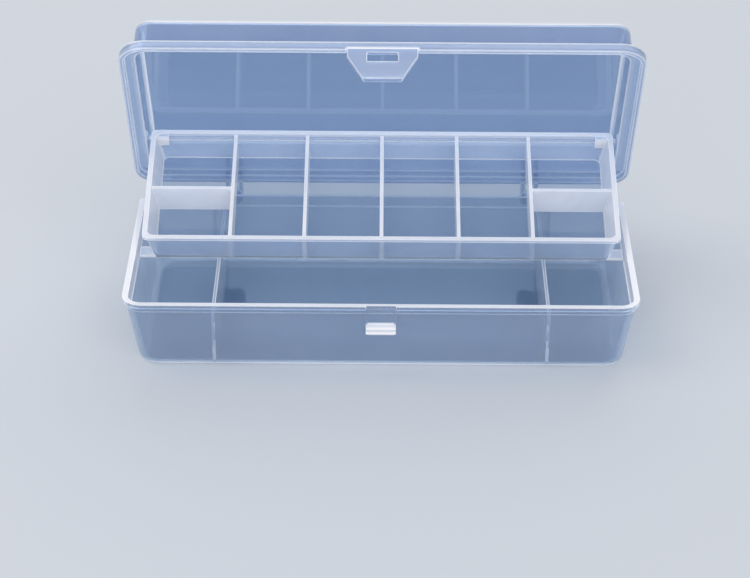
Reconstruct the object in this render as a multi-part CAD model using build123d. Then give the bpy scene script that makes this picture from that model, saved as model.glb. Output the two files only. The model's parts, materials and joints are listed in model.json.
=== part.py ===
from build123d import *
from math import cos, radians, sin, sqrt
import os

# A clear plastic tackle box with a hinged lid and a lift-out tray carried by the lid.
# X runs to the right, Y to the rear and Z up; the origin lies under the middle of the base.
# The pieces are saved as the box stands open: the lid is raised over the rear half of the base
# and the tray hangs from it, its front edge resting low.

# Base tub
base_width = 230.0
base_depth = 113.4
base_height = 34.3
base_wall = 1.5
base_floor = 1.5
base_inset = 5.3
base_top_corner = 7.0
base_foot_corner = 9.9
bottom_round = 5.0
floor_round = 3.6
flange_reach = 1.2
flange_thickness = 1.9
flange_corner = 9.5
flange_rear = 51.3
flange_end_round = 1.7
rest_height = 29.5
rest_reach = 0.5

# Upright plates in the base, either side of the long middle compartment
base_divider_x = 74.5
base_divider_thickness = 1.5
base_divider_top = 29.2

# Catch on the front of the base
catch_width = 11.8
catch_low = 20.0
catch_high = 25.1
catch_front = -56.4
catch_slope = 1.6
catch_rib = 0.8
catch_rib_reach = 0.6

# Lid, described as it sits when the box is shut
lid_half_width = 112.0
lid_half_depth = 53.7
lid_corner = 7.0
lid_overhang = 2.7
lid_edge_height = 31.9
skirt_thickness = 2.0
skirt_height = 4.3
ledge_thickness = 1.4
lid_height = 20.5
lid_wall = 1.5
lid_inset = 0.9
lid_top_round = 3.0
lid_open_angle = 55.4

# Hinge between base and lid
hinge_y = 66.2
hinge_z = 28.6
hinge_pin_radius = 2.0
hinge_fit = 0.06
bracket_x = 79.8
bracket_thickness = 1.8
bracket_eye = 3.4
bracket_low = 12.0
bracket_high = 31.2
hinge_pin_end = 67.2
ear_x = 70.8
ear_width = 8.4
ear_cheek = 2.1
ear_eye = 2.9
ear_ball = 4.5
ear_high = 44.0

# Latch tab that hangs from the front edge of the lid
tab_top_width = 31.4
tab_bottom_width = 17.8
tab_straight = 3.1
tab_length = 14.6
tab_round = 1.0
tab_axis_height = 32.2
tab_gap = 0.3
tab_fit = 0.08
window_width = 13.7
window_high = 30.8
window_low = 26.2
lip_height = 1.8
lip_reach = 2.1
lip_slope = 1.0
lip_width = 16.8
gusset_thickness = 1.0
gusset_height = 3.6

# Tray, described from its hinge pins: forward is -Y and down is -Z
tray_width = 216.5
tray_depth = 72.0
tray_height = 15.0
tray_wall = 1.3
tray_floor = 1.2
tray_side_inset = 3.3
tray_end_inset = 1.9
tray_corner = 3.0
rim_reach = 1.0
rim_thickness = 1.4
tray_pin_behind = 2.0
tray_pin_below = 2.6
tray_bottom_shut = 29.95
tray_pin_shut_y = 35.2
tray_tilt = 17.4
tray_divider_x = (-69.2, -35.3, 0.0, 35.3, 69.2)
tray_divider_top_thickness = 1.6
tray_divider_foot_thickness = 2.2
tray_divider_drop = 0.8
cross_divider_setback = 34.0
boss_front = -1.7
boss_low = -3.0
boss_high = 2.4
tray_pin_radius = 1.1
tray_pin_end = 101.8
lug_reach = 110.9
lug_depth = 5.9

# Sizes that follow from the ones above
half_depth = base_depth / 2
wall_half_width = base_width / 2 - flange_reach
wall_half_depth = half_depth - flange_reach
flange_underside = base_height - flange_thickness
skirt_half_width = base_width / 2 + lid_overhang
skirt_half_depth = half_depth + lid_overhang
skirt_corner = flange_corner + lid_overhang
shoulder_height = lid_edge_height + skirt_height
lid_top = lid_edge_height + lid_height
tray_pin_shut_z = tray_bottom_shut + tray_height - tray_pin_below
tray_rim_z = tray_pin_below
tray_foot_z = tray_pin_below - tray_height
tray_middle_y = tray_pin_behind - tray_depth / 2
tab_axis_y = -skirt_half_depth + skirt_thickness / 2
hinge_line = Axis((0, hinge_y, hinge_z), (1, 0, 0))


def drafted_block(low_size, high_size, low_corner, high_corner, low, high):
    """A rounded block that widens evenly from its low face to its high face."""
    low_face = Plane.XY.offset(low) * RectangleRounded(*low_size, low_corner)
    high_face = Plane.XY.offset(high) * RectangleRounded(*high_size, high_corner)
    return loft([low_face, high_face])


def rounded_plate(width, depth, corner, low, high):
    """An upright rounded plate between two heights."""
    return extrude(Plane.XY.offset(low) * RectangleRounded(width, depth, corner), high - low)


def side_profile(points, x_low, x_high):
    """A prism whose outline is given in Y and Z, standing between two X positions."""
    outline = Plane.YZ.offset(x_low) * make_face(Polyline(*points, close=True))
    return extrude(outline, x_high - x_low)


def rod(x_low, x_high, y, z, radius):
    """A round bar along X."""
    return extrude(Plane.YZ.offset(x_low) * Pos(y, z) * Circle(radius), x_high - x_low)


def box_between(x_low, x_high, y_low, y_high, z_low, z_high):
    """A plain block given by its two corners."""
    middle = Pos((x_low + x_high) / 2, (y_low + y_high) / 2, (z_low + z_high) / 2)
    return middle * Box(x_high - x_low, y_high - y_low, z_high - z_low)


def base_block(shrink, low, high):
    """The drafted body of the base, drawn in from its outer face by a wall thickness."""

    sizes = []
    corners = []
    for height in (low, high):
        depth_share = (base_height - height) / base_height
        inset = shrink + base_inset * depth_share
        sizes.append((2 * (wall_half_width - inset), 2 * (wall_half_depth - inset)))
        corners.append(
            base_top_corner + (base_foot_corner - base_top_corner) * depth_share - shrink / 2
        )
    return drafted_block(*sizes, *corners, low, high)


def base_cavity():
    """The room inside the base, with a narrow step in the walls on which the tray rests."""
    room = base_block(base_wall + rest_reach, base_floor, rest_height)
    room = fillet(room.edges().group_by(Axis.Z)[0], floor_round)
    return room + base_block(base_wall, rest_height, base_height + 1)


def base_flange():
    """The lip round the rim, rounded at the front corners and cut off nearly square at the rear."""
    lip = rounded_plate(
        base_width, 2 * base_depth, flange_corner, base_height - flange_thickness, base_height
    )
    rear_cut = box_between(
        -base_width, base_width, flange_rear, 2 * base_depth, 0, base_height + 1
    )
    lip = Pos(0, half_depth) * lip - rear_cut
    ends = lip.edges().filter_by(Axis.Z).group_by(Axis.Y)[-1]
    return fillet(ends, flange_end_round)


def make_base_tub():
    """Walls, floor and the flange round the rim, with the flange cut away over the catch."""
    body = base_block(0, 0, base_height)
    body = fillet(body.edges().group_by(Axis.Z)[0], bottom_round)
    notch_half = catch_width / 2 + catch_rib
    notch_end = -wall_half_depth
    notch = box_between(
        -notch_half, notch_half, -half_depth - 1, notch_end, flange_underside - 1, base_height + 1
    )
    return body + (base_flange() - notch) - base_cavity()


def make_base_divider(x):
    """A low plate from the front wall of the base to its rear wall."""
    half = base_divider_thickness / 2
    plate = box_between(x - half, x + half, -half_depth, half_depth, 0, base_divider_top)
    return plate & base_cavity()


def make_catch():
    """The block that the latch hooks under, with two thin ribs up to the flange."""
    half = catch_width / 2
    wall_line = -wall_half_depth + base_inset
    block = side_profile(
        [
            (catch_front, catch_low),
            (wall_line, catch_low),
            (wall_line, catch_high),
            (catch_front + catch_slope, catch_high),
            (catch_front, catch_high - catch_slope),
        ],
        -half,
        half,
    )
    rib_front = -wall_half_depth - catch_rib_reach
    ribs = [
        box_between(x, x + catch_rib, rib_front, wall_line, catch_low, flange_underside)
        for x in (-half - catch_rib, half)
    ]
    return block + ribs[0] + ribs[1] - base_block(0, 0, base_height)


def make_hinge_bracket(side):
    """A gusset on the rear of the base that carries one inward pointing hinge pin."""
    inner = bracket_x - bracket_thickness / 2
    outer = bracket_x + bracket_thickness / 2
    gusset = side_profile(
        [
            (wall_half_depth - base_inset, bracket_high),
            (hinge_y, bracket_high),
            (hinge_y, hinge_z - bracket_eye),
            (wall_half_depth - base_inset, bracket_low),
        ],
        inner,
        outer,
    )
    eye = rod(inner, outer, hinge_y, hinge_z, bracket_eye)
    pin = rod(hinge_pin_end, inner, hinge_y, hinge_z, hinge_pin_radius)
    bracket = gusset + eye + pin - base_block(0, 0, base_height)
    return bracket if side > 0 else mirror(bracket, Plane.YZ)


def lid_block(shrink, low, high):
    """The upper body of the shut lid, drawn in from its outer face by a wall thickness."""
    sizes = []
    for height in (low, high):
        inset = shrink + lid_inset * (height - shoulder_height) / (lid_top - shoulder_height)
        sizes.append((2 * (lid_half_width - inset), 2 * (lid_half_depth - inset)))
    corner = lid_corner - shrink / 2
    return drafted_block(*sizes, corner, corner, low, high)


def make_lid_shell():
    """Top panel, walls, ledge and outer skirt, with a notch in the skirt for the latch tab."""
    body = lid_block(0, shoulder_height - ledge_thickness, lid_top)
    body = fillet(body.edges().group_by(Axis.Z)[-1], lid_top_round)
    skirt = rounded_plate(
        2 * skirt_half_width, 2 * skirt_half_depth, skirt_corner, lid_edge_height, shoulder_height
    )
    hollow = rounded_plate(
        2 * (skirt_half_width - skirt_thickness),
        2 * (skirt_half_depth - skirt_thickness),
        skirt_corner - skirt_thickness,
        lid_edge_height - 1,
        shoulder_height - ledge_thickness,
    )
    room = lid_block(lid_wall, lid_edge_height, lid_top - lid_wall)
    room = fillet(room.edges().group_by(Axis.Z)[-1], lid_top_round - lid_wall)
    notch_half = tab_top_width / 2 + tab_gap
    notch = box_between(
        -notch_half,
        notch_half,
        -skirt_half_depth - 1,
        -skirt_half_depth + skirt_thickness,
        lid_edge_height - 1,
        tab_axis_height,
    )
    groove = rod(-notch_half, notch_half, tab_axis_y, tab_axis_height, tab_round + tab_fit)
    return (body + skirt) - hollow - room - notch - groove


def hinge_knuckle(inner, outer):
    """A bored barrel about the hinge line with a ball shaped belly."""
    middle = (inner + outer) / 2
    bore = hinge_pin_radius + hinge_fit
    ball_half = sqrt(ear_ball**2 - ear_eye**2)
    outline = [
        Line((middle + ball_half, ear_eye), (outer, ear_eye)),
        Line((outer, ear_eye), (outer, bore)),
        Line((outer, bore), (inner, bore)),
        Line((inner, bore), (inner, ear_eye)),
        Line((inner, ear_eye), (middle - ball_half, ear_eye)),
        ThreePointArc(
            (middle - ball_half, ear_eye), (middle, ear_ball), (middle + ball_half, ear_eye)
        ),
    ]
    half_section = make_face(Wire(outline))
    return Pos(0, hinge_y, hinge_z) * revolve(half_section, Axis.X)


def make_lid_ear(side):
    """Two cheeks and a ball shaped knuckle that turn on the hinge pin."""
    inner = ear_x - ear_width / 2
    outer = ear_x + ear_width / 2
    arm = [
        (lid_half_depth - lid_wall, ear_high),
        (lid_half_depth + 1.5, ear_high),
        (hinge_y + ear_eye, hinge_z),
        (hinge_y - ear_eye, hinge_z),
        (skirt_half_depth - skirt_thickness, lid_edge_height + tab_gap),
    ]
    cheeks = side_profile(arm, inner, inner + ear_cheek)
    cheeks += side_profile(arm, outer - ear_cheek, outer)
    skirt = rounded_plate(
        2 * skirt_half_width, 2 * skirt_half_depth, skirt_corner, lid_edge_height, shoulder_height
    )
    barrel_room = rod(inner - 1, outer + 1, hinge_y, hinge_z, (hinge_pin_radius + ear_eye) / 2)
    cheeks = cheeks - skirt - lid_block(0, shoulder_height, lid_top) - barrel_room
    ear = cheeks + hinge_knuckle(inner, outer)
    return ear if side > 0 else mirror(ear, Plane.YZ)


def make_lid_pin(side):
    """The short pin inside the lid wall on which the tray hangs."""
    pin = rod(tray_pin_end, lid_half_width, tray_pin_shut_y, tray_pin_shut_z, tray_pin_radius)
    pin = pin & lid_block(lid_wall, shoulder_height, lid_top)
    return pin if side > 0 else mirror(pin, Plane.YZ)


def make_latch_tab():
    """A tapered tab with a round upper edge, a window and a lip that hooks under the catch."""
    front = -skirt_half_depth
    back = front + skirt_thickness
    foot = lid_edge_height - tab_length
    knee = lid_edge_height - tab_straight
    outline = Polyline(
        (-tab_top_width / 2, tab_axis_height),
        (tab_top_width / 2, tab_axis_height),
        (tab_top_width / 2, knee),
        (tab_bottom_width / 2, foot),
        (-tab_bottom_width / 2, foot),
        (-tab_top_width / 2, knee),
        close=True,
    )
    plate = extrude(Plane.XZ.offset(-back) * make_face(outline), skirt_thickness)
    bead = rod(-tab_top_width / 2, tab_top_width / 2, tab_axis_y, tab_axis_height, tab_round)
    half_window = window_width / 2
    window = box_between(-half_window, half_window, front - 1, back + 1, window_low, window_high)
    lip = side_profile(
        [
            (back, foot),
            (back + lip_reach - lip_slope, foot),
            (back + lip_reach, foot + lip_slope),
            (back + lip_reach, foot + lip_height),
            (back, foot + lip_height),
        ],
        -lip_width / 2,
        lip_width / 2,
    )
    tab = plate + bead - window + lip
    for x in (-lip_width / 2, lip_width / 2 - gusset_thickness):
        slope = [
            (back, foot + lip_height),
            (back + lip_reach, foot + lip_height),
            (back, foot + gusset_height),
        ]
        tab += side_profile(slope, x, x + gusset_thickness)
    return tab


def tray_block(shrink, low, high):
    """The drafted body of the tray, drawn in from its outer face by a wall thickness."""
    sizes = []
    for height in (low, high):
        share = (tray_rim_z - height) / tray_height
        width = tray_width - 2 * (shrink + tray_side_inset * share)
        depth = tray_depth - 2 * (shrink + tray_end_inset * share)
        sizes.append((width, depth))
    block = drafted_block(sizes[0], sizes[1], tray_corner, tray_corner, low, high)
    return Pos(0, tray_middle_y) * block


def tray_cavity():
    """The room inside the tray."""
    return tray_block(tray_wall, tray_foot_z + tray_floor, tray_rim_z + 1)


def pin_bore():
    """The hole through both sides of the tray for the pins of the lid."""
    return rod(-tray_width, tray_width, 0, 0, tray_pin_radius + hinge_fit)


def make_tray_shell():
    """Floor, walls and the rim of the tray."""
    body = tray_block(0, tray_foot_z, tray_rim_z)
    rim = Pos(0, tray_middle_y) * rounded_plate(
        tray_width + 2 * rim_reach,
        tray_depth + 2 * rim_reach,
        tray_corner,
        tray_rim_z - rim_thickness,
        tray_rim_z,
    )
    return body + rim - tray_cavity() - pin_bore()


def divider_plate(length):
    """A drafted upright plate, thicker at its foot, centred on X and running along Y."""
    top = tray_rim_z - tray_divider_drop
    half_top = tray_divider_top_thickness / 2
    half_foot = tray_divider_foot_thickness / 2
    outline = Polyline(
        (-half_foot, tray_foot_z),
        (half_foot, tray_foot_z),
        (half_top, top),
        (-half_top, top),
        close=True,
    )
    return extrude(Plane.XZ.offset(-length / 2) * make_face(outline), length)


def make_tray_divider(x):
    """One of the plates that part the tray into columns."""
    plate = Pos(x, tray_middle_y) * divider_plate(tray_depth)
    return plate & tray_cavity()


def make_cross_divider(side):
    """The plate that halves an outer column of the tray."""
    outer_divider = max(tray_divider_x)
    y = tray_middle_y - tray_depth / 2 + cross_divider_setback
    length = tray_width / 2 - outer_divider
    plate = Pos(outer_divider + length / 2, y) * Rot(0, 0, 90) * divider_plate(length)
    plate = (plate & tray_cavity()) - make_tray_divider(outer_divider)
    return plate if side > 0 else mirror(plate, Plane.YZ)


def make_pivot_boss(side):
    """The square block inside a rear corner of the tray, bored for the pin."""
    outer = tray_width / 2
    rear = tray_middle_y + tray_depth / 2
    block = box_between(
        tray_pin_end - 1.0,
        outer,
        boss_front,
        rear,
        boss_low,
        boss_high,
    )
    boss = (block & tray_cavity()) - pin_bore()
    return boss if side > 0 else mirror(boss, Plane.YZ)


def make_guide_lug(side):
    """The flat ear at a lower front corner of the tray that rests on the step in the base."""
    front = tray_middle_y - tray_depth / 2 + tray_end_inset
    block = box_between(
        tray_width / 2 - tray_side_inset - 1.5,
        lug_reach,
        front,
        front + lug_depth,
        tray_foot_z,
        tray_foot_z + tray_floor,
    )
    lug = block - tray_block(0, tray_foot_z, tray_rim_z)
    return lug if side > 0 else mirror(lug, Plane.YZ)


def opened(shape):
    """Turn a lid piece back from its shut place to where it stands open."""
    return shape.rotate(hinge_line, -lid_open_angle)


def hung(shape):
    """Hang a tray piece on the pins of the open lid."""
    angle = radians(lid_open_angle)
    reach_y = tray_pin_shut_y - hinge_y
    reach_z = tray_pin_shut_z - hinge_z
    pin_y = hinge_y + reach_y * cos(angle) + reach_z * sin(angle)
    pin_z = hinge_z - reach_y * sin(angle) + reach_z * cos(angle)
    return Pos(0, pin_y, pin_z) * Rot(tray_tilt, 0, 0) * shape


def make_pieces():
    """Every piece by name, in the open pose."""
    pieces = {
        "base_tub": make_base_tub(),
        "base_divider_left": make_base_divider(-base_divider_x),
        "base_divider_right": make_base_divider(base_divider_x),
        "base_catch": make_catch(),
        "base_hinge_bracket_left": make_hinge_bracket(-1),
        "base_hinge_bracket_right": make_hinge_bracket(1),
        "lid_shell": opened(make_lid_shell()),
        "lid_hinge_ear_left": opened(make_lid_ear(-1)),
        "lid_hinge_ear_right": opened(make_lid_ear(1)),
        "lid_tray_pin_left": opened(make_lid_pin(-1)),
        "lid_tray_pin_right": opened(make_lid_pin(1)),
        "latch_tab": opened(make_latch_tab()),
        "tray_shell": hung(make_tray_shell()),
        "tray_cross_divider_left": hung(make_cross_divider(-1)),
        "tray_cross_divider_right": hung(make_cross_divider(1)),
        "tray_pivot_boss_left": hung(make_pivot_boss(-1)),
        "tray_pivot_boss_right": hung(make_pivot_boss(1)),
        "tray_guide_lug_left": hung(make_guide_lug(-1)),
        "tray_guide_lug_right": hung(make_guide_lug(1)),
    }
    for number, x in enumerate(tray_divider_x, start=1):
        pieces[f"tray_divider_{number}"] = hung(make_tray_divider(x))
    return pieces


os.makedirs("parts", exist_ok=True)
for name, piece in make_pieces().items():
    export_step(piece, f"parts/{name}.step")
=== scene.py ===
import json
import math

import bpy
from mathutils import Matrix, Vector


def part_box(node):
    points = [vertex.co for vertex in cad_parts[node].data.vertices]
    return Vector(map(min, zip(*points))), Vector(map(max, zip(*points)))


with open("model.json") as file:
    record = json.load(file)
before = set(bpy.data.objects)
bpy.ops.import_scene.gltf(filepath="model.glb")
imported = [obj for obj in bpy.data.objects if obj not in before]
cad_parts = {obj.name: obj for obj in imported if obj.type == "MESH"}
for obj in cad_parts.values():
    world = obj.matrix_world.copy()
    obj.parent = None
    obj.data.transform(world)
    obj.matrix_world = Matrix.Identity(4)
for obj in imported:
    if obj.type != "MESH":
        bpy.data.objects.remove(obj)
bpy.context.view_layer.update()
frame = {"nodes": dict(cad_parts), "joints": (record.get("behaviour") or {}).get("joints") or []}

bl_info = {
    "name": "Tackle box",
    "version": (1, 0, 0),
    "blender": (4, 5, 0),
    "location": "3D View > Sidebar > Tackle box",
    "description": "Dresses a clear plastic tackle box with a hinged lid and a divided tray",
    "category": "Object",
}

HINGE_NODES = (
    "base_hinge_bracket_left",
    "base_hinge_bracket_right",
    "lid_hinge_ear_left",
    "lid_hinge_ear_right",
)
LID_NODES = ("lid_shell", "lid_tray_pin_left", "lid_tray_pin_right")
BASE_PLATES = ("base_divider_left", "base_divider_right")
TRAY_PLATES = tuple(f"tray_divider_{number}" for number in range(1, 6))
CROSS_PLATES = ("tray_cross_divider_left", "tray_cross_divider_right")
TRAY_CORNERS = ("tray_pivot_boss_left", "tray_pivot_boss_right")
TRAY_LUGS = ("tray_guide_lug_left", "tray_guide_lug_right")

# A metre in millimetres
METRE = 1000.0

# How far the lid and the tray tilt in the open box, the lid by the whole range of its hinge
joints = {joint["name"]: joint for joint in frame["joints"]}
LID_ANGLE = math.radians(joints["lid_hinge"]["range_deg"][1])
TRAY_ANGLE = math.radians(17.4)

# Points that heights are measured from, in metres
TABLE = (0.0, 0.0, 0.0)
HINGE = tuple(joints["lid_hinge"]["pos_m"])
TRAY_FRONT_FOOT = (0.0, -0.0012, 0.0298)

# Directions in the open box
ACROSS = (1.0, 0.0, 0.0)
FORWARD = (0.0, -1.0, 0.0)
BASE_UP = (0.0, 0.0, 1.0)
BASE_DOWN = (0.0, 0.0, -1.0)
LID_UP = (0.0, math.sin(LID_ANGLE), math.cos(LID_ANGLE))
LID_FORWARD = (0.0, -math.cos(LID_ANGLE), math.sin(LID_ANGLE))
TRAY_UP = (0.0, -math.sin(TRAY_ANGLE), math.cos(TRAY_ANGLE))

# Heights and thicknesses of the pieces, in metres. BAND_BLUR softens the ends of a band, and FAR is
# farther than any piece reaches.
BASE_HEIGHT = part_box("base_tub")[1].z
BASE_STEP = 0.0295
LIP_THICKNESS = 0.0019
LIP_LOW = BASE_HEIGHT - LIP_THICKNESS - 0.0012
LIP_HIGH = BASE_HEIGHT - 0.0008
FOOT_ROUND = 0.003
CATCH_TOP = 0.0251
# The catch's painted stripes of shade and highlight repeat once a step
CATCH_STEP = 0.0022
CATCH_RISE = (CATCH_STEP * 0.2, CATCH_STEP * 0.3)
LID_SHOULDER = 0.0076
LID_REAR_SKIRT = 0.016
TRAY_HEIGHT = 0.015
TRAY_RIM = 0.0014
TOP_SKIN = 0.0003
BAND_BLUR = 0.0002
FAR = 1.0

# How far a face looks along a direction, as cosines where a mask is black and where it is white.
# SQUARE is for faces that look that way and STEEP for those beside it. OFF_LEVEL, OFF_WALL and
# OFF_PANEL part a rounding from the flat faces that it joins.
SQUARE = (0.5, 0.85)
STEEP = (0.85, 0.5)
BASE_ENDS = (0.15, 0.95)
TRAY_ENDS = (0.3, 0.85)
DOWNWARD = (0.45, 0.6)
OFF_LEVEL = (0.99, 0.97)
OFF_WALL = (0.08, 0.3)
OFF_PANEL = (0.985, 0.95)

# How far the surface turns where the painted edge glow begins and where it is white, as cosines,
# and how many rays look for it from each point
EDGE_TURN = (0.998, 0.95)
EDGE_SAMPLES = 4

# Shares of the light that the milk scatters, from clear at 0 to white at 1
BASE_WALL_MILK = 0.2
BASE_END_MILK = 0.42
BASE_COLLAR_MILK = 0.7
BASE_FLOOR_MILK = 0.05
PLATE_MILK = 0.45
RIB_MILK = 0.12
LID_WALL_MILK = 0.2
LID_SKIRT_MILK = 0.3
LID_PANEL_MILK = 0.05
LATCH_MILK = 0.34
TRAY_WALL_MILK = 0.33
TRAY_END_MILK = 0.75
TRAY_RIM_MILK = 0.5
TRAY_FLOOR_MILK = 0.09
TRAY_PLATE_MILK = 0.85
CROSS_PLATE_MILK = 0.74

# How white the painted glow of light leaving a wall makes an edge, a rim top, the foot or a corner
BASE_TOP_PAINTED_GLOW = 0.85
LIP_EDGE_PAINTED_GLOW = 0.4
LID_CORNER_PAINTED_GLOW = 0.75
TRAY_TOP_PAINTED_GLOW = 0.8
RIB_EDGE_PAINTED_GLOW = 0.3
# The catch's stripes: painted shade in its grooves and painted highlight on its steps
CATCH_GROOVE_PAINTED_SHADE = 0.7
CATCH_STEP_PAINTED_HIGHLIGHT = 0.95

# Roughness of the pieces whose skin is duller than the rest
LID_ROUGHNESS = 0.05
HINGE_ROUGHNESS = 0.1
CROSS_PLATE_ROUGHNESS = 0.2
CATCH_ROUGHNESS = 0.25

# Polypropylene: the noise of its flow, which thins and thickens the milk and varies the polish
PLASTIC_IOR = 1.49
FLOW_DETAIL = 3.0
FLOW_DISTORTION = 0.6
NOISE_LOW = 0.3
NOISE_HIGH = 0.7
MILK_THINNED = 0.93
MILK_THICKENED = 1.07
POLISHED_MORE = 0.8
POLISHED_LESS = 1.25

# The swim in the reflections of its skin
SWIM_MILLIMETRES = 14.0
SWIM_DETAIL = 2.0
SWIM_STRENGTH = 0.02
SWIM_DEPTH = 0.002

# How white the plastic is where its tint begins to change from milk to the painted edge glow, and where
# it has
MILK_TINT_ENDS = 0.3
EDGE_GLOW_TINT_STARTS = 0.9

# How far a face looks up where it glows most and where it glows least, as cosines
GLOWS_MOST = -0.8
GLOWS_LEAST = 0.0

# Share of a lamp's light that goes on through clear plastic and through white plastic
CLEAR_LETS_THROUGH = 1.0
WHITE_LETS_THROUGH = 0.5

# Studio paper
PAPER_MILLIMETRES = 400.0
PAPER_DETAIL = 2.0
PAPER_SMOOTH = 0.68
PAPER_COARSE = 0.76
PAPER_SPECULAR = 0.2

# The floor lies a little under the base, so that their faces don't share one plane
FLOOR_SIZE = 8.0
FLOOR_PLACE = (0.0, 0.0, -0.0001)

# Light passes many clear walls before it reaches the floor
BOUNCES = 24
SHADOW_BOUNCES = 32

# Each lamp's name, place in metres, size in metres and power in watts
LAMPS = (
    ("front", (0.4, -2.1, 1.1), 2.6, 38.0),
    ("top", (-1.6, -0.3, 1.9), 2.2, 28.0),
    ("back", (0.3, 1.9, 1.3), 2.2, 22.0),
)
LAMP_TARGET = (0.0, 0.0, 0.05)

# The camera's sensor in millimetres, and its shift in pixels of the photograph
SENSOR_WIDTH = 36.0
PHOTO_WIDTH = 750
SHIFT_ACROSS = -6.3
SHIFT_UP = -34.0
CAMERA_ROLL = math.radians(0.39)


def linear(hex_colour):
    """An sRGB hex colour as the linear RGBA that shaders take."""
    channels = []
    for start in (1, 3, 5):
        value = int(hex_colour[start : start + 2], 16) / 255
        channels.append(value / 12.92 if value <= 0.04045 else ((value + 0.055) / 1.055) ** 2.4)
    return (*channels, 1.0)


def per_metre(millimetres):
    """The texture scale whose pattern repeats about once in this many millimetres."""
    return METRE / millimetres


def add_node(tree, kind, settings=None):
    """Add a node, link each input that is given a socket, and set its other values."""
    node = tree.nodes.new(kind)
    for key, value in (settings or {}).items():
        if isinstance(value, bpy.types.NodeSocket):
            tree.links.new(value, node.inputs[key])
        elif isinstance(key, str) and hasattr(node, key):
            setattr(node, key, value)
        else:
            node.inputs[key].default_value = value
    return node


def overlap(tree, *masks):
    """Several masks or shares multiplied, so white only where all of them are."""
    result = masks[0]
    for mask in masks[1:]:
        product = {"operation": "MULTIPLY", 0: result, 1: mask}
        result = add_node(tree, "ShaderNodeMath", product).outputs["Value"]
    return result


def strongest(tree, *masks):
    """The strongest of several masks or shares at each point."""
    result = masks[0]
    for mask in masks[1:]:
        greater = {"operation": "MAXIMUM", 0: result, 1: mask}
        result = add_node(tree, "ShaderNodeMath", greater).outputs["Value"]
    return result


def height_over(tree, origin, up):
    """How far each point lies over an origin, measured along a direction."""
    place = add_node(tree, "ShaderNodeTexCoord").outputs["Object"]
    offset = add_node(tree, "ShaderNodeVectorMath", {"operation": "SUBTRACT", 0: place, 1: origin})
    along = {"operation": "DOT_PRODUCT", 0: offset.outputs["Vector"], 1: up}
    return add_node(tree, "ShaderNodeVectorMath", along).outputs["Value"]


def band(tree, height, low, high):
    """White between two heights and black outside them."""
    rise = {"Value": height, "From Min": low - BAND_BLUR, "From Max": low + BAND_BLUR}
    fall = {"Value": height, "From Min": high + BAND_BLUR, "From Max": high - BAND_BLUR}
    over = add_node(tree, "ShaderNodeMapRange", rise).outputs["Result"]
    under = add_node(tree, "ShaderNodeMapRange", fall).outputs["Result"]
    return overlap(tree, over, under)


def either_way(tree, agreement, span):
    """From black to white over a span of agreement between directions, whatever its sign."""
    low, high = span
    unsigned = add_node(tree, "ShaderNodeMath", {"operation": "ABSOLUTE", 0: agreement})
    ends = {"Value": unsigned.outputs["Value"], "From Min": low, "From Max": high}
    return add_node(tree, "ShaderNodeMapRange", ends).outputs["Result"]


def edge_mask(tree, reach):
    """White along the edges of a piece, black on its flat faces: the mask of the painted edge glow."""
    rounded = add_node(tree, "ShaderNodeBevel", {"samples": EDGE_SAMPLES, "Radius": reach})
    flat = add_node(tree, "ShaderNodeNewGeometry")
    pair = {"operation": "DOT_PRODUCT", 0: rounded.outputs["Normal"], 1: flat.outputs["Normal"]}
    turned = add_node(tree, "ShaderNodeVectorMath", pair).outputs["Value"]
    return either_way(tree, turned, EDGE_TURN)


def looking(tree, direction):
    """How far each face looks along a direction in the open box, also once the piece has moved."""
    normal = add_node(tree, "ShaderNodeTexCoord").outputs["Normal"]
    pair = {"operation": "DOT_PRODUCT", 0: normal, 1: direction}
    return add_node(tree, "ShaderNodeVectorMath", pair).outputs["Value"]


def facing(tree, direction, span=SQUARE):
    """White on faces that look along a direction or against it, black on faces beside it."""
    return either_way(tree, looking(tree, direction), span)


def base_light(tree, edges):
    """Milk in the base's walls and more in its ends, and painted glow on its edges, the top of its rim
    and its foot, fainter on the lip.
    """
    height = height_over(tree, TABLE, BASE_UP)
    walls = overlap(tree, facing(tree, BASE_UP, STEEP), BASE_WALL_MILK)
    ends = overlap(tree, facing(tree, ACROSS, BASE_ENDS), BASE_END_MILK)
    over_step = band(tree, height, BASE_STEP, FAR)
    collar = overlap(tree, over_step, facing(tree, ACROSS), BASE_COLLAR_MILK)
    milk = strongest(tree, walls, ends, collar, BASE_FLOOR_MILK)

    # Painted glow on the top face of the rim
    rim = band(tree, height, BASE_HEIGHT - TOP_SKIN, FAR)
    top = overlap(tree, rim, facing(tree, BASE_UP), BASE_TOP_PAINTED_GLOW)
    # Painted glow along the rounded foot, where the base meets the table
    low, high = DOWNWARD
    down = {"Value": looking(tree, BASE_DOWN), "From Min": low, "From Max": high}
    under = add_node(tree, "ShaderNodeMapRange", down).outputs["Result"]
    near_table = band(tree, height, -FAR, FOOT_ROUND)
    foot = overlap(tree, near_table, under, facing(tree, BASE_UP, OFF_LEVEL))
    # The painted edge glow is fainter on the lip band
    lip = band(tree, height, LIP_LOW, LIP_HIGH)
    faint = {"Value": lip, "To Min": 1.0, "To Max": LIP_EDGE_PAINTED_GLOW}
    off_lip = add_node(tree, "ShaderNodeMapRange", faint).outputs["Result"]
    return milk, strongest(tree, overlap(tree, edges, off_lip), top, foot)


def lid_light(tree, edges):
    """Clear glossy panel, milk in the lid's walls and skirt, and painted glow on its edges and its
    rounded corner.
    """
    height = height_over(tree, HINGE, LID_UP)
    forward = height_over(tree, HINGE, LID_FORWARD)
    under_shoulder = band(tree, height, -FAR, LID_SHOULDER)
    before_hinge = band(tree, forward, LID_REAR_SKIRT, FAR)
    skirt = overlap(tree, under_shoulder, before_hinge, LID_SKIRT_MILK)
    walls = overlap(tree, facing(tree, LID_UP, STEEP), LID_WALL_MILK)
    # Painted glow on the rounded corner between the walls and the panel
    off_wall = facing(tree, LID_UP, OFF_WALL)
    corner = overlap(tree, off_wall, facing(tree, LID_UP, OFF_PANEL), LID_CORNER_PAINTED_GLOW)
    return strongest(tree, walls, skirt, LID_PANEL_MILK), strongest(tree, edges, corner)


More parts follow.
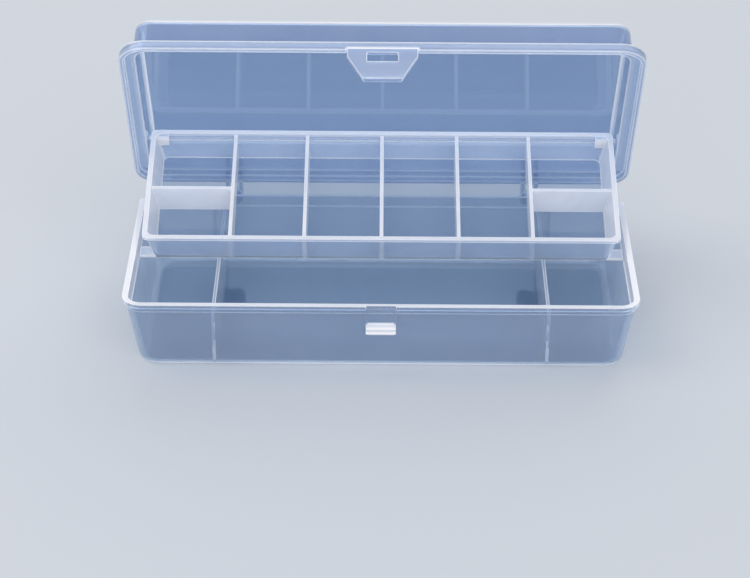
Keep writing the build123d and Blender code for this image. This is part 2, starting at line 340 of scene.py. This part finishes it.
def tray_light(tree, edges):
    """Milk in the tray's walls, more in its ends and its rim, and painted glow on its edges and the top
    of its rim.
    """
    height = height_over(tree, TRAY_FRONT_FOOT, TRAY_UP)
    walls = overlap(tree, facing(tree, TRAY_UP, STEEP), TRAY_WALL_MILK)
    ends = overlap(tree, facing(tree, ACROSS, TRAY_ENDS), TRAY_END_MILK)
    rim = overlap(tree, band(tree, height, TRAY_HEIGHT - TRAY_RIM, FAR), TRAY_RIM_MILK)
    # Painted glow on the top face of the rim
    skin = band(tree, height, TRAY_HEIGHT - TOP_SKIN, FAR)
    top = overlap(tree, skin, facing(tree, TRAY_UP), TRAY_TOP_PAINTED_GLOW)
    return strongest(tree, walls, ends, rim, TRAY_FLOOR_MILK), strongest(tree, edges, top)


def catch_light(tree, edges):
    """White milky block with painted stripes of shade and highlight for faint steps, under ribs that
    are nearly clear, with faint painted glow on their edges.
    """
    height = height_over(tree, TABLE, BASE_UP)
    # Painted stripes over the block's own white: shade in the grooves, highlight on the steps
    fold = {"operation": "PINGPONG", 0: height, 1: CATCH_STEP / 2}
    steps = add_node(tree, "ShaderNodeMath", fold).outputs["Value"]
    groove_ends, step_starts = CATCH_RISE
    grading = {
        "Value": steps,
        "From Min": groove_ends,
        "From Max": step_starts,
        "To Min": CATCH_GROOVE_PAINTED_SHADE,
        "To Max": CATCH_STEP_PAINTED_HIGHLIGHT,
    }
    painted_step_stripes = add_node(tree, "ShaderNodeMapRange", grading).outputs["Result"]
    block = overlap(tree, band(tree, height, -FAR, CATCH_TOP), painted_step_stripes)
    # Faint painted glow on the edges of the ribs
    ribs = overlap(tree, band(tree, height, CATCH_TOP, FAR), edges, RIB_EDGE_PAINTED_GLOW)
    return RIB_MILK, strongest(tree, ribs, block)


def plate_light(tree, edges):
    """Milk all through a plate or a corner, and painted glow on its edges and its narrow front."""
    # The edges and the faces that look forward or back carry painted glow
    return PLATE_MILK, strongest(tree, edges, facing(tree, FORWARD))


def latch_light(tree, edges):
    """Some milk in the latch and the hinges, and painted glow on their edges."""
    return LATCH_MILK, edges


def cross_light(tree, edges):
    """More milk in a plate that was moulded thick, and painted glow on its edges."""
    return CROSS_PLATE_MILK, edges


def white_light(tree, edges):
    """Milk so thick that a thin plate is white, and painted glow on its edges."""
    return TRAY_PLATE_MILK, edges


def empty_material(name):
    """A new material and its node tree, with no nodes in it yet."""
    material = bpy.data.materials.new(name)
    material.use_nodes = True
    material.node_tree.nodes.clear()
    return material, material.node_tree


def melt_flow(tree, size):
    """Soft clouds about this many metres across, where the melt flowed faster and slower."""
    settings = {
        "Vector": add_node(tree, "ShaderNodeTexCoord").outputs["Object"],
        "Scale": per_metre(size * METRE),
        "Detail": FLOW_DETAIL,
        "Distortion": FLOW_DISTORTION,
    }
    return add_node(tree, "ShaderNodeTexNoise", settings).outputs["Fac"]


def cloudy(tree, flow, milk):
    """Milk that the flow of the melt has thinned and thickened a little."""
    clouds = {
        "Value": flow,
        "From Min": NOISE_LOW,
        "From Max": NOISE_HIGH,
        "To Min": MILK_THINNED,
        "To Max": MILK_THICKENED,
    }
    return overlap(tree, add_node(tree, "ShaderNodeMapRange", clouds).outputs["Result"], milk)


def polished_skin(tree, flow, rough):
    """A skin whose polish varies with the flow, and which swims a little in its reflections."""
    polish = {
        "Value": flow,
        "From Min": NOISE_LOW,
        "From Max": NOISE_HIGH,
        "To Min": rough * POLISHED_MORE,
        "To Max": rough * POLISHED_LESS,
    }
    swim = {
        "Vector": add_node(tree, "ShaderNodeTexCoord").outputs["Object"],
        "Scale": per_metre(SWIM_MILLIMETRES),
        "Detail": SWIM_DETAIL,
    }
    bump = {
        "Height": add_node(tree, "ShaderNodeTexNoise", swim).outputs["Fac"],
        "Strength": SWIM_STRENGTH,
        "Distance": SWIM_DEPTH,
    }
    return {
        "Roughness": add_node(tree, "ShaderNodeMapRange", polish).outputs["Result"],
        "Normal": add_node(tree, "ShaderNodeBump", bump).outputs["Normal"],
    }


def clear_plastic(tree, tint, skin):
    """The clear part, which bends light and tints it at every wall."""
    settings = {
        "IOR": PLASTIC_IOR,
        "Base Color": linear(tint),
        "Transmission Weight": 1.0,
        **skin,
    }
    return add_node(tree, "ShaderNodeBsdfPrincipled", settings).outputs["BSDF"]


def milky_plastic(tree, look, white, skin):
    """The milk, which scatters light back and on through the wall, and carries the painted glow at the
    edges.
    """
    whitening = {"Value": white, "From Min": MILK_TINT_ENDS, "From Max": EDGE_GLOW_TINT_STARTS}
    tints = {
        "data_type": "RGBA",
        0: add_node(tree, "ShaderNodeMapRange", whitening).outputs["Result"],
        6: linear(look.milk_tint),
        7: linear(look.edge_glow_tint),
    }
    colour = add_node(tree, "ShaderNodeMix", tints).outputs[2]
    back = {"IOR": PLASTIC_IOR, "Base Color": colour, **skin}

    # Faces that look down are lit from inside the wall, by the light that falls in from above.
    normal = add_node(tree, "ShaderNodeNewGeometry").outputs["Normal"]
    pair = {"operation": "DOT_PRODUCT", 0: normal, 1: BASE_UP}
    glow = {
        "Value": add_node(tree, "ShaderNodeVectorMath", pair).outputs["Value"],
        "From Min": GLOWS_MOST,
        "From Max": GLOWS_LEAST,
        "To Min": look.under_glow,
        "To Max": look.glow,
    }
    ways = {
        0: add_node(tree, "ShaderNodeMapRange", glow).outputs["Result"],
        1: add_node(tree, "ShaderNodeBsdfPrincipled", back).outputs["BSDF"],
        2: add_node(tree, "ShaderNodeBsdfTranslucent", {"Color": colour}).outputs["BSDF"],
    }
    return add_node(tree, "ShaderNodeMixShader", ways).outputs["Shader"]


def with_pale_shadow(tree, look, white, plastic):
    """The plastic, with lamps shining through it, dimmed and tinted, so its shadow is soft and pale."""
    dimming = {"Value": white, "To Min": CLEAR_LETS_THROUGH, "To Max": WHITE_LETS_THROUGH}
    let_through = add_node(tree, "ShaderNodeMapRange", dimming).outputs["Result"]
    shadow_ray = add_node(tree, "ShaderNodeLightPath").outputs["Is Shadow Ray"]
    shade = add_node(tree, "ShaderNodeBsdfTransparent", {"Color": linear(look.shade_tint)})
    ways = {
        0: overlap(tree, shadow_ray, let_through),
        1: plastic,
        2: shade.outputs["BSDF"],
    }
    return add_node(tree, "ShaderNodeMixShader", ways).outputs["Shader"]


def moulded_polypropylene(name, look, tint, light, rough=None, edge=None):
    """Translucent polypropylene as it leaves a polished mould.

    The clear part bends light with a blue cast that deepens with every wall behind it. The milk of
    the crystals in the plastic scatters light forwards and back, a little more where the melt
    flowed slowly. Edges and the tops of thick rims carry a painted glow: white painted into the
    milk in place of light that runs inside the walls and comes out at their edges. The skin is
    glossy, with a faint swim in its reflections.
    """
    material, tree = empty_material(name)
    flow = melt_flow(tree, look.flow_size)
    # The light function gives the milk and the painted glow of edges, rim tops, feet and corners
    milk, bright = light(tree, edge_mask(tree, look.edge_glow_reach if edge is None else edge))
    white = strongest(tree, cloudy(tree, flow, milk), bright)
    skin = polished_skin(tree, flow, look.roughness if rough is None else rough)
    parts = {
        0: white,
        1: clear_plastic(tree, tint, skin),
        2: milky_plastic(tree, look, white, skin),
    }
    plastic = add_node(tree, "ShaderNodeMixShader", parts).outputs["Shader"]
    surface = with_pale_shadow(tree, look, white, plastic)
    add_node(tree, "ShaderNodeOutputMaterial", {"Surface": surface})
    return material


def pale_paper(colour):
    """Matt studio paper, with a faint unevenness so that its shade isn't dead flat.

    The fibres of real paper are too fine to show, so the unevenness is drawn far coarser.
    """
    material, tree = empty_material("pale paper")
    fibre = {
        "Vector": add_node(tree, "ShaderNodeTexCoord").outputs["Object"],
        "Scale": per_metre(PAPER_MILLIMETRES),
        "Detail": PAPER_DETAIL,
    }
    matt = {
        "Value": add_node(tree, "ShaderNodeTexNoise", fibre).outputs["Fac"],
        "From Min": NOISE_LOW,
        "From Max": NOISE_HIGH,
        "To Min": PAPER_SMOOTH,
        "To Max": PAPER_COARSE,
    }
    paper = {
        "Base Color": linear(colour),
        "Specular IOR Level": PAPER_SPECULAR,
        "Roughness": add_node(tree, "ShaderNodeMapRange", matt).outputs["Result"],
    }
    surface = add_node(tree, "ShaderNodeBsdfPrincipled", paper).outputs["BSDF"]
    add_node(tree, "ShaderNodeOutputMaterial", {"Surface": surface})
    return material


def dress(names, material):
    """Give CAD nodes a material."""
    for name in names:
        node = frame["nodes"][name]
        node.data.materials.clear()
        node.data.materials.append(material)


def lay_floor(colour):
    """Lay pale paper under the box."""
    bpy.ops.mesh.primitive_plane_add(size=FLOOR_SIZE, location=FLOOR_PLACE)
    floor = bpy.context.object
    floor.name = "floor"
    floor.data.materials.append(pale_paper(colour))


def fill_room(scene, colour, strength):
    """Fill the room with even light."""
    world = bpy.data.worlds.new("soft room")
    world.use_nodes = True
    scene.world = world
    back = world.node_tree.nodes["Background"]
    back.inputs["Color"].default_value = linear(colour)
    back.inputs["Strength"].default_value = strength


def hang_lamp(scene, name, place, size, power):
    """Hang a large soft lamp that looks at the box."""
    data = bpy.data.lights.new(name, "AREA")
    data.energy = power
    data.size = size
    lamp = bpy.data.objects.new(name, data)
    lamp.location = place
    aim = Vector(LAMP_TARGET) - Vector(place)
    lamp.rotation_euler = aim.to_track_quat("-Z", "Y").to_euler()
    scene.collection.objects.link(lamp)


def set_camera(scene, stage):
    """Stand the camera where the photograph was taken from."""
    data = bpy.data.cameras.new("camera")
    data.sensor_width = SENSOR_WIDTH
    data.lens = stage.lens
    data.shift_x = SHIFT_ACROSS / PHOTO_WIDTH
    data.shift_y = SHIFT_UP / PHOTO_WIDTH
    camera = bpy.data.objects.new("camera", data)
    place = Matrix.Translation((0.0, -stage.camera_depth, stage.camera_height))
    tilt = Matrix.Rotation(math.pi / 2 - stage.camera_pitch, 4, "X")
    roll = Matrix.Rotation(CAMERA_ROLL, 4, "Z")
    camera.matrix_world = place @ tilt @ roll
    scene.collection.objects.link(camera)
    scene.camera = camera


class TackleBoxPlastic(bpy.types.PropertyGroup):
    """The colours and the finish of the mouldings."""

    lid_tint: bpy.props.StringProperty(
        name="Lid tint", description="sRGB hex of the light that passes the lid", default="#8FAAD2"
    )
    tray_tint: bpy.props.StringProperty(
        name="Tray tint", description="sRGB hex of the light that passes the tray", default="#C6D3E2"
    )
    base_tint: bpy.props.StringProperty(
        name="Base tint", description="sRGB hex of the light that passes the base", default="#A5B9CF"
    )
    # The colour of the painted glow on the edges and rim tops
    edge_glow_tint: bpy.props.StringProperty(
        name="Edge tint", description="sRGB hex of the bright edges", default="#FEFAF9"
    )
    shade_tint: bpy.props.StringProperty(
        name="Shade tint", description="sRGB hex of the light in the shadow", default="#E6ECF2"
    )
    milk_tint: bpy.props.StringProperty(
        name="Milk tint", description="sRGB hex of the light that the milk scatters", default="#DCE6F5"
    )
    # How far the painted glow of the edges reaches, on most pieces and on the lid
    edge_glow_reach: bpy.props.FloatProperty(
        name="Edge reach",
        description="How far the white of an edge reaches over the faces beside it",
        default=0.0008,
        unit="LENGTH",
    )
    lid_edge_glow_reach: bpy.props.FloatProperty(
        name="Lid edge reach",
        description="The same for the thicker edges of the lid",
        default=0.0014,
        unit="LENGTH",
    )
    glow: bpy.props.FloatProperty(
        name="Glow",
        description="Share of the scattered light that goes on through the wall",
        default=0.25,
        min=0.0,
        max=1.0,
        subtype="FACTOR",
    )
    under_glow: bpy.props.FloatProperty(
        name="Glow from below",
        description="The same share where a face looks down",
        default=0.8,
        min=0.0,
        max=1.0,
        subtype="FACTOR",
    )
    roughness: bpy.props.FloatProperty(
        name="Roughness",
        description="Roughness of the polished skin",
        default=0.045,
        min=0.0,
        max=1.0,
        subtype="FACTOR",
    )
    flow_size: bpy.props.FloatProperty(
        name="Flow size",
        description="Size of the clouds that the flow of the melt leaves",
        default=0.026,
        unit="LENGTH",
    )


class TackleBoxStage(bpy.types.PropertyGroup):
    """The floor, the room and the camera."""

    floor_colour: bpy.props.StringProperty(
        name="Floor", description="sRGB hex of the paper under the box", default="#C0C4CA"
    )
    room_colour: bpy.props.StringProperty(
        name="Room", description="sRGB hex of the even light in the room", default="#EEF1F5"
    )
    room_light: bpy.props.FloatProperty(
        name="Room light", description="Strength of the even light in the room", default=0.6, min=0.0
    )
    lens: bpy.props.FloatProperty(
        name="Lens", description="Focal length of the camera", default=130.55, unit="CAMERA"
    )
    camera_depth: bpy.props.FloatProperty(
        name="Camera depth",
        description="Distance in front of the origin",
        default=1.1142,
        unit="LENGTH",
    )
    camera_height: bpy.props.FloatProperty(
        name="Camera height",
        description="Height over the floor",
        default=0.5995,
        unit="LENGTH",
    )
    camera_pitch: bpy.props.FloatProperty(
        name="Camera pitch",
        description="Angle below the horizon",
        default=math.radians(27.03),
        subtype="ANGLE",
    )


class TACKLEBOX_OT_base(bpy.types.Operator):
    """Finish the base tub"""

    bl_idname = "tacklebox.base"
    bl_label = "Base tub"

    def execute(self, context):
        look = context.scene.tackle_box_plastic
        plastic = moulded_polypropylene("base polypropylene", look, look.base_tint, base_light)
        dress(("base_tub",), plastic)
        return {"FINISHED"}


class TACKLEBOX_OT_plates(bpy.types.Operator):
    """Finish the plates that part the base"""

    bl_idname = "tacklebox.plates"
    bl_label = "Base plates"

    def execute(self, context):
        look = context.scene.tackle_box_plastic
        plastic = moulded_polypropylene("plate polypropylene", look, look.base_tint, plate_light)
        dress(BASE_PLATES, plastic)
        return {"FINISHED"}


class TACKLEBOX_OT_lid(bpy.types.Operator):
    """Finish the lid and its latch"""

    bl_idname = "tacklebox.lid"
    bl_label = "Lid"

    def execute(self, context):
        look = context.scene.tackle_box_plastic
        tint = look.lid_tint
        lid = moulded_polypropylene(
            "lid polypropylene",
            look,
            tint,
            lid_light,
            rough=LID_ROUGHNESS,
            edge=look.lid_edge_glow_reach,
        )
        dress(LID_NODES, lid)
        latch = moulded_polypropylene("latch polypropylene", look, tint, latch_light)
        dress(("latch_tab",), latch)
        return {"FINISHED"}


class TACKLEBOX_OT_tray(bpy.types.Operator):
    """Finish the tray and its plates"""

    bl_idname = "tacklebox.tray"
    bl_label = "Tray"

    def execute(self, context):
        look = context.scene.tackle_box_plastic
        tint = look.tray_tint
        shell = moulded_polypropylene("tray polypropylene", look, tint, tray_light)
        dress(("tray_shell",), shell)
        plate = moulded_polypropylene("tray plate polypropylene", look, tint, white_light)
        dress(TRAY_PLATES, plate)
        cross = moulded_polypropylene(
            "cross plate polypropylene", look, tint, cross_light, rough=CROSS_PLATE_ROUGHNESS
        )
        dress(CROSS_PLATES, cross)
        corner = moulded_polypropylene("corner polypropylene", look, tint, plate_light)
        dress((*TRAY_CORNERS, *TRAY_LUGS), corner)
        return {"FINISHED"}


class TACKLEBOX_OT_hinges(bpy.types.Operator):
    """Finish the catch and the hinge pieces"""

    bl_idname = "tacklebox.hinges"
    bl_label = "Hinges and catch"

    def execute(self, context):
        look = context.scene.tackle_box_plastic
        tint = look.base_tint
        catch = moulded_polypropylene(
            "catch polypropylene", look, tint, catch_light, rough=CATCH_ROUGHNESS
        )
        dress(("base_catch",), catch)
        hinge = moulded_polypropylene(
            "hinge polypropylene", look, tint, latch_light, rough=HINGE_ROUGHNESS
        )
        dress(HINGE_NODES, hinge)
        return {"FINISHED"}


class TACKLEBOX_OT_stage(bpy.types.Operator):
    """Lay the floor, hang the lamps and set up the camera"""

    bl_idname = "tacklebox.stage"
    bl_label = "Stage"

    def execute(self, context):
        scene = context.scene
        stage = scene.tackle_box_stage
        scene.view_settings.view_transform = "Standard"
        scene.cycles.max_bounces = BOUNCES
        scene.cycles.transmission_bounces = BOUNCES
        scene.cycles.transparent_max_bounces = SHADOW_BOUNCES
        lay_floor(stage.floor_colour)
        fill_room(scene, stage.room_colour, stage.room_light)
        for name, place, size, power in LAMPS:
            hang_lamp(scene, name, place, size, power)
        set_camera(scene, stage)
        return {"FINISHED"}


class TACKLEBOX_PT_panel(bpy.types.Panel):
    """Lists the pieces of the tackle box"""

    bl_label = "Tackle box"
    bl_idname = "TACKLEBOX_PT_panel"
    bl_space_type = "VIEW_3D"
    bl_region_type = "UI"
    bl_category = "Tackle box"

    def draw(self, context):
        layout = self.layout
        for operator in OPERATORS:
            layout.operator(operator.bl_idname)


OPERATORS = (
    TACKLEBOX_OT_base,
    TACKLEBOX_OT_plates,
    TACKLEBOX_OT_lid,
    TACKLEBOX_OT_tray,
    TACKLEBOX_OT_hinges,
    TACKLEBOX_OT_stage,
)
CLASSES = (TackleBoxPlastic, TackleBoxStage, *OPERATORS, TACKLEBOX_PT_panel)


def register():
    for cls in CLASSES:
        bpy.utils.register_class(cls)
    bpy.types.Scene.tackle_box_plastic = bpy.props.PointerProperty(type=TackleBoxPlastic)
    bpy.types.Scene.tackle_box_stage = bpy.props.PointerProperty(type=TackleBoxStage)


def unregister():
    del bpy.types.Scene.tackle_box_stage
    del bpy.types.Scene.tackle_box_plastic
    for cls in reversed(CLASSES):
        bpy.utils.unregister_class(cls)


def main():
    register()
    bpy.ops.tacklebox.base()
    bpy.ops.tacklebox.plates()
    bpy.ops.tacklebox.lid()
    bpy.ops.tacklebox.tray()
    bpy.ops.tacklebox.hinges()
    bpy.ops.tacklebox.stage()


if __name__ == "__main__":
    main()
